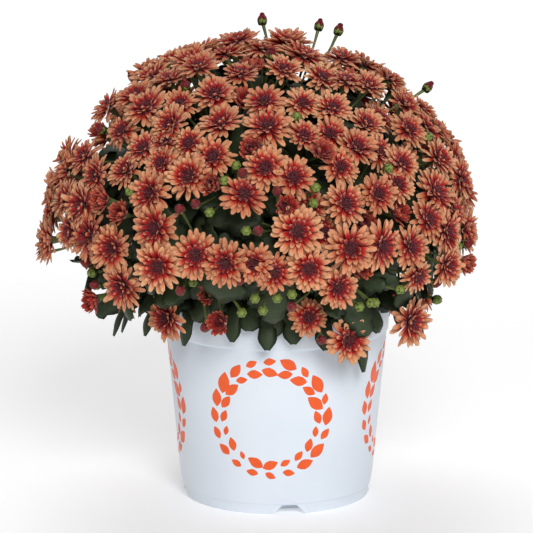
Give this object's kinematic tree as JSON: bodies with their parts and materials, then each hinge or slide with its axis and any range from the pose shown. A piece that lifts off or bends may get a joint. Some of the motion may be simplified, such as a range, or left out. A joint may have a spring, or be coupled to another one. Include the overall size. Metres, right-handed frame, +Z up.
{
  "type": "pot chrysanthemum",
  "caption": "Dome of small coral chrysanthemum blooms on leafy stems in a round white plastic nursery pot with drain channels and printed orange leaf wreaths.",
  "frame": {"origin": "centre of the pot's underside, on the surface it stands on", "axes": "+Z up along the pot's axis, -Y towards the front of the print, +X to the right as seen from the front"},
  "size_m": [0.3394, 0.3364, 0.3683],
  "materials": {
    "pot_plastic": "satin",
    "potting_soil": "matte",
    "foliage": "matte",
    "petals": "matte"
  },
  "bodies": {
    "root": {"pot": "pot_plastic", "soil": "potting_soil", "leafy_stem_1": "foliage", "leafy_stem_2": "foliage", "leafy_stem_3": "foliage", "leafy_stem_4": "foliage", "leafy_stem_5": "foliage", "leafy_stem_6": "foliage", "bloom_spray_01": "petals", "bloom_spray_02": "petals", "bloom_spray_03": "petals", "bloom_spray_04": "petals", "bloom_spray_05": "petals", "bloom_spray_06": "petals", "bloom_spray_07": "petals", "bloom_spray_08": "petals", "bloom_spray_09": "petals", "bloom_spray_10": "petals", "bloom_spray_11": "petals", "bloom_spray_12": "petals", "bloom_spray_13": "petals", "bloom_spray_14": "petals", "bloom_spray_15": "petals", "bloom_spray_16": "petals", "bloom_spray_17": "petals", "bloom_spray_18": "petals", "bloom_spray_19": "petals", "bloom_spray_20": "petals", "bloom_spray_21": "petals", "bloom_spray_22": "petals", "bloom_spray_23": "petals", "bloom_spray_24": "petals", "bloom_spray_25": "petals", "bloom_spray_26": "petals", "bloom_spray_27": "petals", "bloom_spray_28": "petals", "bloom_spray_29": "petals", "bloom_spray_30": "petals", "bloom_spray_31": "petals", "bloom_spray_32": "petals", "bloom_spray_33": "petals"}
  },
  "joints": []
}
